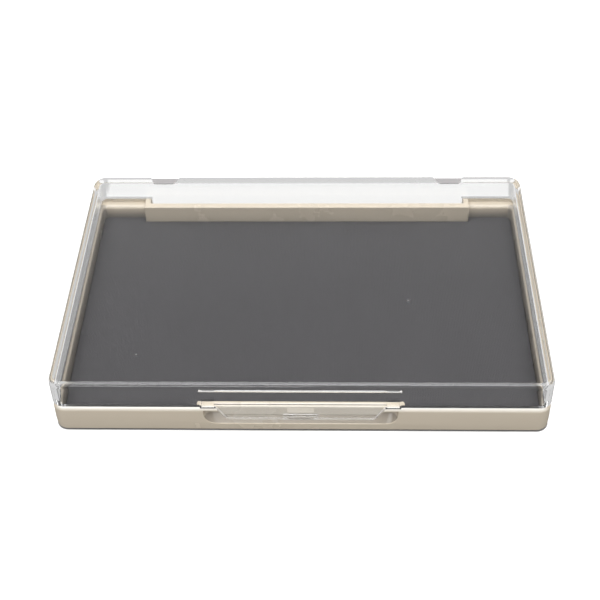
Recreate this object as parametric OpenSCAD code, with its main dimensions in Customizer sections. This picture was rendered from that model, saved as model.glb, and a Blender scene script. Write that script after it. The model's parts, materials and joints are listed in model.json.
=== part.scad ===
// Ink pad: a shallow moulded tray that holds a die-cut pad, under a clear hinged lid.
// X runs to the right, Y to the rear, where the hinge is, and Z up. All sizes are millimetres.
// The origin is the centre of the tray's underside. The lid is drawn closed.

/* [Case] */
// Width of the closed case
case_w = 135; // [120:1:160]
// Depth of the closed case, without the latch panel
case_d = 90; // [78:1:110]
// Height of the closed case
case_h = 18; // [16:0.5:24]
// Plan radius of the upright corners
corner_r = 3.5; // [2.4:0.1:5]

/* [Base tray] */
// Height of the rim above the underside
rim_h = 9.3; // [8.8:0.1:11]
// Thickness of the floor
floor_t = 1.2; // [0.8:0.1:1.8]
// Thickness of the rim wall
rim_t = 1.4; // [1.1:0.1:1.8]
// Drop from the rim to the ledge inside it
ledge_drop = 1.4; // [0.8:0.1:1.8]
// Width of the ledge at the sides and the front
ledge_side = 0.7; // [0.3:0.1:1.5]
// Width of the ledge at the rear
ledge_rear = 2.5; // [1:0.1:4]
// Radius of the tray's inner corners
tray_r = 1.5; // [0.5:0.1:3]
// Inward lean of the outer wall, from the rim down to the foot
tray_taper = 0.1; // [0.05:0.05:0.8]
// Radius of the wall's lower edge
wall_low_r = 0.2; // [0.1:0.05:0.6]
// Height of the foot that the tray stands on
foot_h = 0.7; // [0.3:0.05:1]
// How far the foot stands in from the outer wall
foot_in = 1.2; // [0.6:0.1:1.8]
// Radius of the rim's outer edge
rim_r = 1.8; // [0.5:0.1:2]

/* [Hinge] */
// Diameter of the hinge pins
pin_d = 1.6; // [1.2:0.1:2]
// Height of the pins above the underside
pin_h = 5; // [4:0.1:6]
// Radial running clearance of the lid's lugs on the pins
pin_run = 0.05; // [0.03:0.01:0.09]
// Thickness of the lug round the pin
lug_wall = 0.85; // [0.6:0.05:1.2]
// Width of each lug
lug_w = 9.8; // [6:0.1:16]
// Gap between a lug and the end wall of the well
lug_side_gap = 0.4; // [0.2:0.1:1]
// Gap between a lug and the bar in front of it
lug_bar_gap = 0.4; // [0.3:0.1:1]
// Width of the tray's rear pocket at each side of the hinge well
pocket_w = 17.5; // [13:0.5:24]
// Height of the lower edge of the lid's skirt, between the lugs
skirt_h = 6; // [5.5:0.1:8]
// Thickness of the bar in front of the well
bar_t = 2.2; // [1.4:0.1:3]
// Thickness of the well's end walls
well_end_t = 1.8; // [1.2:0.1:3]

/* [Latch] */
// Width of the finger recess
recess_w = 52.6; // [44:0.2:70]
// Depth of the finger recess
recess_d = 1.9; // [1.8:0.1:2.4]
// Height of the back of the recess floor above the underside
recess_h = 5.3; // [4.6:0.1:5.4]
// Height of the front edge of the recess floor, which slopes down to it
recess_lip_h = 3; // [2.4:0.1:3.6]
// Radius of the recess's lower corners
recess_r = 3.4; // [1:0.1:3.6]
// Thickness of the wall behind the recess
recess_back_t = 1.75; // [1.2:0.05:3]
// Width of the lid's latch panel
panel_w = 54; // [50:1:80]
// How far the panel stands proud of the lid
panel_out = 0.5; // [0.2:0.1:0.5]
// Drop from the top of the lid to the panel's shoulder
panel_drop = 1.6; // [1:0.1:3]
// Width of the tab where it leaves the panel
tab_top_w = 45.6; // [41:0.2:48]
// Width of the tab at its lower edge
tab_low_w = 40; // [30:0.5:40.5]
// Height of the tab's lower edge above the underside
tab_h = 5; // [4.8:0.1:5.2]
// Thickness of the tab
tab_t = 1.7; // [1.2:0.1:1.7]
// Radius of the tab's lower corners
tab_r = 1; // [0.4:0.1:1.5]
// Gap between the tab and the ends of its notch in the rim
tab_gap = 0.4; // [0.2:0.1:0.8]
// Width of the catch nub on the tray
nub_w = 7.2; // [4:0.2:12]
// Height of the catch nub's lower edge above the underside
nub_h = 6.2; // [6.1:0.1:6.6]
// Height of the catch nub itself
nub_t = 1.9; // [1:0.1:2.2]
// How far the nub stands out of the recess wall
nub_out = 0.45; // [0.3:0.05:0.5]
// Width of the bead behind the tab
bead_w = 9.6; // [4:0.2:16]
// Height of the bead above the tab's lower edge
bead_rise = 0.4; // [0.2:0.05:0.4]
// How far the bead stands out of the tab
bead_out = 0.5; // [0.3:0.05:0.55]
// Gap between the bead and the nub above it
catch_gap = 0.2; // [0.1:0.05:0.3]
// Thickness of the panel in front of the pocket at each side of the tab
pocket_skin = 0.85; // [0.7:0.05:1.2]
// Height of that pocket above the lid's lower edge
pocket_h = 2.4; // [1.5:0.1:3]

/* [Lid] */
// Thickness of the lid's walls
lid_wall = 1.8; // [1.2:0.1:2]
// Thickness of the lid's top plate
lid_top = 1.9; // [1.4:0.1:2.4]
// Inward lean of the lid's walls, from the rim to the top
lid_taper = 0.05; // [0.05:0.05:0.5]
// Radius of the lid's top edge
lid_top_r = 1.4; // [0.4:0.1:1.6]
// Radius of the lid's lower edge
lid_low_r = 0.2; // [0.1:0.05:0.4]
// Radius of the corner between the top plate and the walls
lid_inner_r = 0.5; // [0.2:0.05:0.7]
// Gap between the lid and the rim
parting_gap = 0.25; // [0.2:0.05:0.5]
// Depth of the shallow notch above each lug
notch_d = 1.7; // [1:0.1:3]
// Width of the notch at its front edge
notch_front_w = 4.9; // [3:0.1:7]
// How far the front edge of the notch lies towards the side of the case
notch_shift = 0.8; // [0:0.1:1.2]
// Drop from the top of the lid to the floor of the notch
notch_drop = 1.1; // [0.6:0.1:1.3]

/* [Pad] */
// Gap between the pad and the walls of the tray
pad_gap = 0.25; // [0.1:0.05:0.6]
// Thickness of the adhesive film
film_t = 0.15; // [0.1:0.05:0.3]
// Thickness of the backing board
board_t = 0.45; // [0.3:0.05:0.8]
// Thickness of the ink felt
felt_t = 1.6; // [1:0.1:2.2]
// Thickness of the pad cloth
cloth_t = 0.4; // [0.2:0.05:0.6]

/* [Hidden] */

// Segments on a full circle of a moulded corner, on a bore or pin, and on a quarter of an edge
corner_fn = 32;
bore_fn = 64;
edge_steps = 4;
// Overlap of joined shapes, and the overshoot of cuts
lap = 0.5;
// Thickness of the two faces that a sloping cut is drawn between
sliver = 0.05;

front_y = -case_d / 2;
rear_y = case_d / 2;
well_w = case_w - 2 * pocket_w;
ledge_z = rim_h - ledge_drop;
lid_z = rim_h + parting_gap;

barrel_r = pin_d / 2 + pin_run + lug_wall;
well_d = 2 * barrel_r + lug_bar_gap;
well_y = rear_y - well_d;
bar_y = well_y - bar_t;
pin_y = rear_y - barrel_r;
lug_x1 = well_w / 2 - lug_side_gap;
lug_x0 = lug_x1 - lug_w;
pin_x1 = well_w / 2 + well_end_t;

recess_y = front_y + recess_d;
bump_w = recess_w + 2 * recess_back_t;
bump_y = recess_y + recess_back_t;
panel_y = front_y - panel_out;
panel_z = case_h - panel_drop;
tab_back_y = panel_y + tab_t;
tab_root_x = tab_top_w / 2 + tab_gap;

tray_w = case_w - 2 * (rim_t + ledge_side);
tray_y0 = front_y + rim_t + ledge_side;
tray_y1 = rear_y - rim_t - ledge_rear;

film_z = floor_t;
board_z = film_z + film_t;
felt_z = board_z + board_t;
cloth_z = felt_z + felt_t;

tray_colour = [0.73, 0.69, 0.62];
lid_colour = [0.88, 0.90, 0.92, 0.35];
steel_colour = [0.70, 0.71, 0.73];
film_colour = [0.93, 0.90, 0.80];
board_colour = [0.60, 0.57, 0.52];
felt_colour = [0.20, 0.20, 0.21];
cloth_colour = [0.30, 0.30, 0.31];

// Points on an arc from angle a0 to angle a1
function arc(x, y, r, a0, a1) =
    [for (i = [0 : edge_steps])
        let (a = a0 + (a1 - a0) * i / edge_steps)
        [x + r * cos(a), y + r * sin(a)]];

// Half width of the tab at height z
function tab_half(z) =
    tab_low_w / 2 + (tab_top_w - tab_low_w) / 2 * (z - tab_h) / (lid_z - tab_h);

// Outline of one upright corner, turned about its own axis
function corner_outline(low_r, high_r, h, low_edge, high_edge) =
    concat([[0, 0]],
           arc(low_r - low_edge, low_edge, low_edge, -90, 0),
           arc(high_r - high_edge, h - high_edge, high_edge, 0, 90),
           [[0, h]]);

// A block with round upright corners, leaning walls and round edges
module moulded_block(w, d, h, r, low_in, high_in, low_edge, high_edge) {
    hull()
        for (sx = [-1, 1], sy = [-1, 1])
            translate([sx * (w / 2 - r), sy * (d / 2 - r), 0])
                rotate_extrude($fn = corner_fn)
                    polygon(corner_outline(r - low_in, r - high_in, h, low_edge, high_edge));
}

// A flat rectangle with round corners, from (x0, y0) to (x1, y1)
module round_rect(x0, y0, x1, y1, r) {
    translate([x0 + r, y0])
        square([x1 - x0 - 2 * r, y1 - y0]);
    translate([x0, y0 + r])
        square([x1 - x0, y1 - y0 - 2 * r]);
    for (x = [x0 + r, x1 - r], y = [y0 + r, y1 - r])
        translate([x, y])
            circle(r, $fn = corner_fn);
}

// Plan of the walls round the hinge well, grown by gap
module well_plan(gap) {
    half = pin_x1 + gap;
    translate([-half, bar_y - gap])
        square([2 * half, case_d]);
}

// Plan of the wall that bulges inward behind the finger recess, grown by gap
module bump_plan(gap) {
    half = bump_w / 2 + gap;
    round_rect(-half, front_y - case_d, half, bump_y + gap, recess_back_t / 2 + gap);
}

// Plan of the space for the pad, less gap all round
module tray_plan(gap) {
    difference() {
        round_rect(-tray_w / 2 + gap, tray_y0 + gap, tray_w / 2 - gap, tray_y1 - gap, tray_r);
        well_plan(gap);
        bump_plan(gap);
    }
}

// Plan of the space inside the rim, above the ledge
module rim_plan() {
    difference() {
        round_rect(-case_w / 2 + rim_t, front_y + rim_t, case_w / 2 - rim_t, rear_y - rim_t, tray_r);
        well_plan(0);
        bump_plan(0);
    }
}

// Front view of the finger recess above floor_z: square at the ledge, round at the lower corners
module recess_face(floor_z) {
    intersection() {
        round_rect(-recess_w / 2, floor_z, recess_w / 2, ledge_z + 2 * recess_r, recess_r);
        translate([-recess_w / 2, floor_z])
            square([recess_w, ledge_z - floor_z]);
    }
}

// Front view of the slot in the rim that the tab passes through, down into the recess
module slot_face() {
    low_z = ledge_z - lap;
    top_z = rim_h + lap;
    low_half = tab_half(low_z) + tab_gap;
    top_half = tab_half(top_z) + tab_gap;
    polygon([[-low_half, low_z], [low_half, low_z], [top_half, top_z], [-top_half, top_z]]);
}

// Front view of the tab, from inside the panel down to its round lower corners
module tab_face() {
    top_z = lid_z + lap;
    half = tab_half(top_z);
    lean = atan2(tab_half(lid_z) - tab_low_w / 2, lid_z - tab_h);
    x = tab_low_w / 2 - tab_r;
    polygon(concat([[half, top_z], [-half, top_z]],
                   arc(-x, tab_h + tab_r, tab_r, 180 + lean, 270),
                   arc(x, tab_h + tab_r, tab_r, 270, 360 - lean)));
}

// Extrude a front view from y0 towards the front
module along_y(y0, t) {
    translate([0, y0, 0])
        rotate([90, 0, 0])
            linear_extrude(t)
                children();
}

// A round bar along the hinge axis, from x0 to x1 on one side
module hinge_rod(side, x0, x1, r) {
    translate([side > 0 ? x0 : -x1, pin_y, pin_h])
        rotate([0, 90, 0])
            cylinder(r = r, h = x1 - x0, $fn = bore_fn);
}

// The outer form of the tray: a moulded block on a foot
module tray_block() {
    x = case_w / 2 - foot_in;
    y = case_d / 2 - foot_in;
    translate([0, 0, foot_h])
        moulded_block(case_w, case_d, rim_h - foot_h, corner_r, tray_taper, 0, wall_low_r, rim_r);
    linear_extrude(foot_h + lap)
        round_rect(-x, -y, x, y, corner_r - foot_in);
}

// The space of the finger recess, with a floor that slopes down to the front
module recess_space() {
    hull() {
        along_y(recess_y, sliver)
            recess_face(recess_h);
        along_y(front_y - lap, sliver)
            recess_face(recess_lip_h - (recess_h - recess_lip_h) * lap / recess_d);
    }
}

// One layer of the pad
module pad_layer(z, t) {
    translate([0, 0, z])
        linear_extrude(t)
            tray_plan(pad_gap);
}

module base_tray() {
    color(tray_colour) {
        difference() {
            tray_block();
            translate([0, 0, ledge_z])
                linear_extrude(ledge_drop + lap)
                    rim_plan();
            translate([0, 0, floor_t])
                linear_extrude(rim_h - floor_t + lap)
                    tray_plan(0);
            translate([-well_w / 2, well_y, -lap])
                cube([well_w, well_d + lap, rim_h + 2 * lap]);
            recess_space();
            along_y(recess_y, recess_d + lap)
                slot_face();
            for (side = [-1, 1])
                hinge_rod(side, well_w / 2 - lap, pin_x1 + lap, pin_d / 2);
        }
        translate([-nub_w / 2, recess_y - nub_out, nub_h])
            cube([nub_w, nub_out + lap, nub_t]);
    }
}

module clear_lid() {
    color(lid_colour)
    difference() {
        union() {
            lid_shell();
            lid_panel();
            along_y(tab_back_y, tab_t)
                tab_face();
            translate([-bead_w / 2, tab_back_y - lap, tab_h + bead_rise])
                cube([bead_w, bead_out + lap, nub_h - catch_gap - tab_h - bead_rise]);
            lid_skirt();
            for (side = [-1, 1])
                lid_lug(side);
        }
        for (side = [-1, 1]) {
            hinge_rod(side, lug_x0 - lap, lug_x1 + lap, pin_d / 2 + pin_run);
            lid_notch(side);
            panel_pocket(side);
        }
        tab_slope();
    }
}

// The hollow lid, without its tab, skirt and lugs
module lid_shell() {
    inner_r = max(corner_r - lid_wall, lid_wall / 2);
    inner_edge = min(lid_inner_r, inner_r - lid_taper);
    difference() {
        translate([0, 0, lid_z])
            moulded_block(case_w, case_d, case_h - lid_z, corner_r, 0, lid_taper, lid_low_r, lid_top_r);
        translate([0, 0, lid_z - lap])
            moulded_block(case_w - 2 * lid_wall, case_d - 2 * lid_wall, case_h - lid_top - lid_z + lap,
                          inner_r, 0, lid_taper, lid_low_r, inner_edge);
    }
}

// The proud panel on the front of the lid, with a round shoulder
module lid_panel() {
    back_y = front_y + lid_wall;
    translate([-panel_w / 2, 0, 0])
        rotate([90, 0, 90])
            linear_extrude(panel_w)
                polygon(concat([[back_y, panel_z], [back_y, lid_z], [panel_y, lid_z]],
                               arc(front_y, panel_z - panel_out, panel_out, 180, 90)));
}

// The slope behind the root of the tab, which rises to the rear
module tab_slope() {
    run = front_y + lid_wall + lap - tab_back_y;
    translate([-tab_root_x, 0, lid_z])
        rotate([90, 0, 90])
            linear_extrude(2 * tab_root_x)
                polygon([[tab_back_y, 0], [tab_back_y, -lap],
                         [tab_back_y + run, -lap], [tab_back_y + run, run]]);
}

// The pocket behind one end of the panel, beside the tab
module panel_pocket(side) {
    x1 = (panel_w - pocket_skin) / 2;
    translate([side > 0 ? tab_root_x : -x1, panel_y + pocket_skin, lid_z - lap])
        cube([x1 - tab_root_x, lid_wall + panel_out - pocket_skin + lap, pocket_h + lap]);
}

// The skirt below the rear wall, which closes the hinge well between the lugs
module lid_skirt() {
    translate([-lug_x1, rear_y - lid_wall, skirt_h])
        cube([2 * lug_x1, lid_wall, lid_z - skirt_h + lap]);
}

// A hinge lug: a plate below the rear wall that ends in a barrel round the pin
module lid_lug(side) {
    hinge_rod(side, lug_x0, lug_x1, barrel_r);
    translate([side > 0 ? lug_x0 : -lug_x1, rear_y - lid_wall, pin_h])
        cube([lug_w, lid_wall, lid_z - pin_h + lap]);
}

// The shallow notch in the rear top edge above a lug, wider towards the rear
module lid_notch(side) {
    x = (lug_x0 + lug_x1) / 2 + notch_shift;
    y0 = rear_y - notch_d;
    y1 = rear_y + lap;
    translate([0, 0, case_h - notch_drop])
        linear_extrude(notch_drop + lap)
            polygon([[side * (x - notch_front_w / 2), y0], [side * (x + notch_front_w / 2), y0],
                     [side * lug_x1, y1], [side * lug_x0, y1]]);
}

module hinge_pin_left() {
    color(steel_colour)
        hinge_rod(-1, lug_x0, pin_x1, pin_d / 2);
}

module hinge_pin_right() {
    color(steel_colour)
        hinge_rod(1, lug_x0, pin_x1, pin_d / 2);
}

module adhesive_film() {
    color(film_colour)
        pad_layer(film_z, film_t);
}

module backing_board() {
    color(board_colour)
        pad_layer(board_z, board_t);
}

module ink_felt() {
    color(felt_colour)
        pad_layer(felt_z, felt_t);
}

module pad_cloth() {
    color(cloth_colour)
        pad_layer(cloth_z, cloth_t);
}

base_tray();
clear_lid();
hinge_pin_left();
hinge_pin_right();
adhesive_film();
backing_board();
ink_felt();
pad_cloth();
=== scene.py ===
"""Ink pad in a hinged case: moulded tray, clear lid, die-cut cloth pad and steel hinge pins.

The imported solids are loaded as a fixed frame, and each piece is modelled over its own solid.
"""

import json
import math

import bmesh
import bpy
from mathutils import Matrix, Vector, noise


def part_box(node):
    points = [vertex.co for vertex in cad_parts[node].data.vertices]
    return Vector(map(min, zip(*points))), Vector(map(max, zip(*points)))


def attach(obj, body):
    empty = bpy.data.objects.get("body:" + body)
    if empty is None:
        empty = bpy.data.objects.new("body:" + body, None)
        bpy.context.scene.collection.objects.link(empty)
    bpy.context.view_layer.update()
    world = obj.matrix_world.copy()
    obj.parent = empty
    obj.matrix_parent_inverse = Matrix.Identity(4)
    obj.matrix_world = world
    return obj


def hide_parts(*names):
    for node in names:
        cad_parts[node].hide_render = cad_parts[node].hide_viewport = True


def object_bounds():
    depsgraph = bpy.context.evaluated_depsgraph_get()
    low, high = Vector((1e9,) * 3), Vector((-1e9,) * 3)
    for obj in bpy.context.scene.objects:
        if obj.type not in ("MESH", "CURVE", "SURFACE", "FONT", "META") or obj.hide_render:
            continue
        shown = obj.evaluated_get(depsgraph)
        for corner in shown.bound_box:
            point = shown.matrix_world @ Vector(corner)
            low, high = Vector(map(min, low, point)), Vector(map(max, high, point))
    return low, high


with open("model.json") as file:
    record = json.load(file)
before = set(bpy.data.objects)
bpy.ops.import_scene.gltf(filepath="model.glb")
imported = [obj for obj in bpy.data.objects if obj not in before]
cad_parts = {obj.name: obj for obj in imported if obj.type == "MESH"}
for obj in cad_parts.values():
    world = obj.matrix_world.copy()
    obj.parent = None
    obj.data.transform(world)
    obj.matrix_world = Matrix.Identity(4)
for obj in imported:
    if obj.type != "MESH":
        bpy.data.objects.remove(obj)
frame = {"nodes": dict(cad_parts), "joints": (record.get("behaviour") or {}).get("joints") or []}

bl_info = {
    "name": "Ink Pad",
    "version": (1, 0, 0),
    "blender": (4, 5, 0),
    "location": "3D View > Sidebar > Ink Pad",
    "description": "Models the pieces of a hinged ink pad over its packed solids",
    "category": "Object",
}

MM = 0.001

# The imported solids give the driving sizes
CAD_LOW, CAD_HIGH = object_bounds()
TRAY_LOW, TRAY_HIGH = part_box("base_tray")
LID_LOW, LID_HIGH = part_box("clear_lid")
FELT_LOW, FELT_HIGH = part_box("ink_felt")
CLOTH_LOW, CLOTH_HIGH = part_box("pad_cloth")
PIN_LOW, PIN_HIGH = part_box("hinge_pin_right")
HINGE = Vector(frame["joints"][0]["pos_m"])

# Overshoot of cuts, and the overlap of joined solids
OVER = 1.0 * MM
LAP = 0.5 * MM
# A step that keeps two cutters from sharing a plane
STEP = 0.05 * MM
# Corners closer than this are one, and faces that bend less than this many degrees are one
MERGE = 0.002 * MM
FLAT_BEND = 0.2
# How far the ink staining and painted shade climb the walls, and how many times as far at the sides
STAIN_SHADE_RISE = 3.4 * MM
STAIN_SHADE_CLIMB = 3
# How deep the tone of the ink staining and painted shade is, its share between the rear pockets, and its
# share in its paler patches
STAIN_SHADE_DEPTH = 0.8
STAIN_SHADE_BETWEEN = 0.2
STAIN_SHADE_PATCH = 0.9
# How far the roughness of a plastic varies, up and down
VARY = 0.1
# How strongly the dust shows on the tray and on the cloth, and how much rougher it makes the lid
TRAY_DUST, CLOTH_DUST, LID_DUST = 0.4, 0.3, 0.35
# Refractive index of the clear plastic
LID_INDEX = 1.53
# Reflections after which light counts as caught in the clear plastic, and below which it came straight
CAUGHT = 2.5
STRAIGHT = 0.5
WHITE = (1.0, 1.0, 1.0, 1.0)
# Place, and width and height, of each lamp in metres
TOP_LAMP = (0.0, -0.04, 0.85), (1.5, 1.04)
FRONT_LAMP = (-0.25, -0.75, 0.45), (0.5, 0.3)


def length(name, description, default):
    """A size property in metres."""
    return bpy.props.FloatProperty(
        name=name, description=description, default=default, unit="LENGTH", precision=5)


def share(name, description, default):
    """A property from 0 to 1."""
    return bpy.props.FloatProperty(
        name=name, description=description, default=default, min=0.0, max=1.0, subtype="FACTOR")


def colour(name, description, default):
    """A linear colour property."""
    return bpy.props.FloatVectorProperty(
        name=name, description=description, default=default, size=3, min=0.0, max=1.0, subtype="COLOR")


class InkPadCase(bpy.types.PropertyGroup):
    """Sizes that the tray and the lid share."""

    width: length("Width", "Width of the closed case", TRAY_HIGH.x - TRAY_LOW.x)
    depth: length("Depth", "Depth of the closed case", TRAY_HIGH.y - TRAY_LOW.y)
    height: length("Height", "Height of the closed case", LID_HIGH.z)
    corner: length("Corner radius", "Plan radius of the upright corners", 3.5 * MM)
    tab_top: length("Tab top width", "Width of the tab where it leaves the panel", 45.6 * MM)
    tab_low: length("Tab low width", "Width of the tab at its lower edge", 40 * MM)
    tab_height: length("Tab height", "Height of the tab's lower edge", 5 * MM)
    tab_gap: length("Tab gap", "Gap between the tab and its notch in the rim", 0.4 * MM)
    parting: length("Parting gap", "Gap between the lid and the rim", 0.25 * MM)
    nub_height: length("Nub height", "Height of the catch nub's lower edge", 6.2 * MM)
    pin_clearance: length("Pin clearance", "Running clearance round a pin", 0.05 * MM)


class InkPadTray(bpy.types.PropertyGroup):
    """Sizes and finish of the moulded tray."""

    rim: length("Rim height", "Height of the rim", TRAY_HIGH.z)
    rim_wall: length("Rim wall", "Thickness of the rim", 1.4 * MM)
    ledge_drop: length("Ledge drop", "Drop from the rim to the ledge", 1.4 * MM)
    ledge_side: length("Ledge at the sides", "Width of the ledge at the sides and front", 0.7 * MM)
    ledge_rear: length("Ledge at the rear", "Width of the ledge at the rear", 2.5 * MM)
    inner_corner: length("Inner corner radius", "Radius of the tray's inner corners", 1.5 * MM)
    floor: length("Floor", "Thickness of the floor", 1.2 * MM)
    taper: length("Taper", "Inward lean of the wall down to the foot", 0.1 * MM)
    belly: length("Belly", "How far the wall swells out of a straight lean", 0.08 * MM)
    well_depth: length("Well depth", "Depth of the hinge well", 3.8 * MM)
    bar: length("Bar", "Thickness of the bar in front of the hinge well", 2.2 * MM)
    well_end: length("Well end wall", "Thickness of the well's end walls", 1.8 * MM)
    recess_width: length("Recess width", "Width of the finger recess", 52.6 * MM)
    recess_depth: length("Recess depth", "Depth of the finger recess", 1.9 * MM)
    recess_floor: length("Recess floor", "Height of the recess floor at its back", 5.3 * MM)
    recess_lip: length("Recess lip", "Height that the recess floor slopes down to", 3 * MM)
    recess_corner: length("Recess corner", "Radius of the recess's lower corners", 3.4 * MM)
    recess_back: length("Recess back", "Thickness of the wall behind the recess", 1.75 * MM)
    nub_width: length("Nub width", "Width of the catch nub", 7.2 * MM)
    nub_tall: length("Nub", "Height of the catch nub itself", 1.9 * MM)
    nub_out: length("Nub reach", "How far the nub stands out", 0.45 * MM)
    nub_lead: length("Nub lead-in", "Height of the slope above the nub's edge", 1.3 * MM)
    foot_height: length("Foot", "Height of the foot that the tray stands on", 0.45 * MM)
    foot_in: length("Foot inset", "How far the foot stands in from the wall", 1.2 * MM)
    low_round: length("Wall low edge", "Radius of the wall's lower edge", 0.2 * MM)
    rim_round: length("Rim edge", "Radius of the rim's outer edge", 1.8 * MM)
    ledge_round: length("Ledge edge", "Radius of the ledge's inner edge at the sides and front", 0.5 * MM)
    pocket_round: length("Pocket edge", "Radius of the ledge's inner edge in the rear pockets", 1.2 * MM)
    lip_round: length("Recess edge", "Radius of the recess's front edge", 0.15 * MM)
    back_round: length("Recess top edge", "Radius of the top edge behind the tab", 1.15 * MM)
    rough: share("Roughness", "Roughness of the moulded skin", 0.26)
    gloss: share("Gloss", "Strength of the moulded skin's reflection", 1.0)
    edge_round: length("Edge", "Radius of every other edge", 0.25 * MM)
    tint: colour("Tint", "Warm beige of the moulded plastic", (0.56, 0.491, 0.391))
    shade: colour("Shade", "Darker tone of the plastic's faint flow marks", (0.548, 0.478, 0.379))
    # Ink staining, partly painted shade, at the foot of the walls beside the pad
    stain_and_shade: colour("Stain", "Ink stain on the walls beside the pad", (0.10, 0.095, 0.09))
    # Painted shade on the floor of the finger recess
    recess_shade: colour("Grime", "Worn tone of the recess floor", (0.30, 0.262, 0.213))
    # Painted highlight along the rim's front and on the wall behind the tab
    painted_highlight: colour("Bloom", "Pale line along the front of the rim", (0.85, 0.84, 0.80))
    dust: colour("Dust", "Dust on the tray", (0.8, 0.78, 0.74))
    # Painted glare: how far the wall behind the tab is painted paler
    haze: share("Haze", "Paleness of the wall behind the tab", 0.32)
    glare_end: length("Haze end", "Bare length of that wall at each end of the recess", 5 * MM)


class InkPadLid(bpy.types.PropertyGroup):
    """Sizes and finish of the clear lid."""

    wall: length("Wall", "Thickness of the walls", 1.8 * MM)
    top: length("Top plate", "Thickness of the top plate", 1.9 * MM)
    panel_width: length("Panel width", "Width of the latch panel", 54 * MM)
    panel_drop: length("Panel drop", "Drop from the top to the panel's shoulder", 1.6 * MM)
    tab_thick: length("Tab", "Thickness of the tab", 1.7 * MM)
    tab_corner: length("Tab corner", "Radius of the tab's lower corners", 1 * MM)
    bead_width: length("Bead width", "Width of the bead behind the tab", 9.6 * MM)
    bead_rise: length("Bead rise", "Height of the bead above the tab's lower edge", 0.4 * MM)
    bead_out: length("Bead reach", "How far the bead stands out", 0.5 * MM)
    catch_gap: length("Catch gap", "Gap between the bead and the nub", 0.2 * MM)
    pocket_skin: length("Pocket skin", "Thickness of the panel in front of its pockets", 0.85 * MM)
    pocket_height: length("Pocket height", "Height of the pockets beside the tab", 2.4 * MM)
    lug: length("Lug width", "Width of a hinge lug", 9.8 * MM)
    barrel: length("Barrel", "Outer radius of a lug's barrel", 1.7 * MM)
    skirt: length("Skirt", "Height of the lower edge of the skirt between the lugs", 6 * MM)
    notch_depth: length("Notch depth", "Depth of the shallow notch above a lug", 3.5 * MM)
    notch_front: length("Notch front", "Width of the notch at its front", 6.6 * MM)
    notch_shift: length("Notch shift", "Shift of the notch's front towards the side of the case", 0.4 * MM)
    notch_drop: length("Notch drop", "Drop from the top to the floor of the notch", 0.7 * MM)
    notch_corner: length("Notch corner", "Radius of the notch's front corners", 1.4 * MM)
    top_front: length("Front top edge", "Radius of the top edge at the front", 1.65 * MM)
    top_side: length("Side top edge", "Radius of the top edge at the sides", 1.4 * MM)
    top_rear: length("Rear top edge", "Radius of the top edge at the rear", 0.45 * MM)
    inner_round: length("Inner edge", "Radius of the edge under the top plate", 0.5 * MM)
    skirt_round: length("Skirt edge", "Radius of the skirt's lower edges", 0.4 * MM)
    edge_round: length("Edge", "Radius of every other edge", 0.15 * MM)
    tint: colour("Tint", "Colour of the clear plastic", (0.98, 0.982, 0.98))
    haze: share("Haze", "Roughness of the clear plastic", 0.06)
    frost: colour("Frost", "Grey of the rough skin in the notches", (0.60, 0.56, 0.57))
    frost_rough: share("Frost roughness", "Roughness of the skin in the notches", 0.35)
    edge_glow: share("Edge glow", "Light that the walls gather and guide to their edges", 0.7)


class InkPadPad(bpy.types.PropertyGroup):
    """Sizes and finish of the pad."""

    gap: length("Gap", "Gap between the pad and the tray", 0.25 * MM)
    cell: length("Cell", "Spacing of the mesh across the cloth", 3 * MM)
    swell: length("Swell", "Height of the cloth's soft unevenness", 0.05 * MM)
    swell_size: length("Swell size", "Spread of the cloth's soft unevenness", 22 * MM)
    cloth_round: length("Cloth edge", "Radius of the cloth's pressed edge", 0.16 * MM)
    felt_round: length("Felt edge", "Radius of the felt's cut edge", 0.3 * MM)
    thread: length("Thread", "Spacing of the cloth's threads", 0.45 * MM)
    ink: colour("Ink", "Ink-soaked cloth", (0.0455, 0.044, 0.047))
    dry: colour("Thread crest", "Drier crests of the threads", (0.0645, 0.0625, 0.066))
    dust: colour("Dust", "Dust on the cloth", (0.4, 0.4, 0.4))
    film: colour("Film", "Adhesive film", (0.93, 0.90, 0.80))
    film_dark: colour("Film fibres", "Darker fibres of the film", (0.86, 0.82, 0.70))
    board: colour("Board", "Backing board", (0.36, 0.33, 0.28))
    board_dark: colour("Board fibres", "Darker fibres of the board", (0.26, 0.24, 0.20))


class InkPadPins(bpy.types.PropertyGroup):
    """Finish of the hinge pins."""

    chamfer: length("Chamfer", "Chamfer at the ends of a pin", 0.2 * MM)
    steel: colour("Steel", "Drawn steel", (0.56, 0.57, 0.58))


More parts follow.
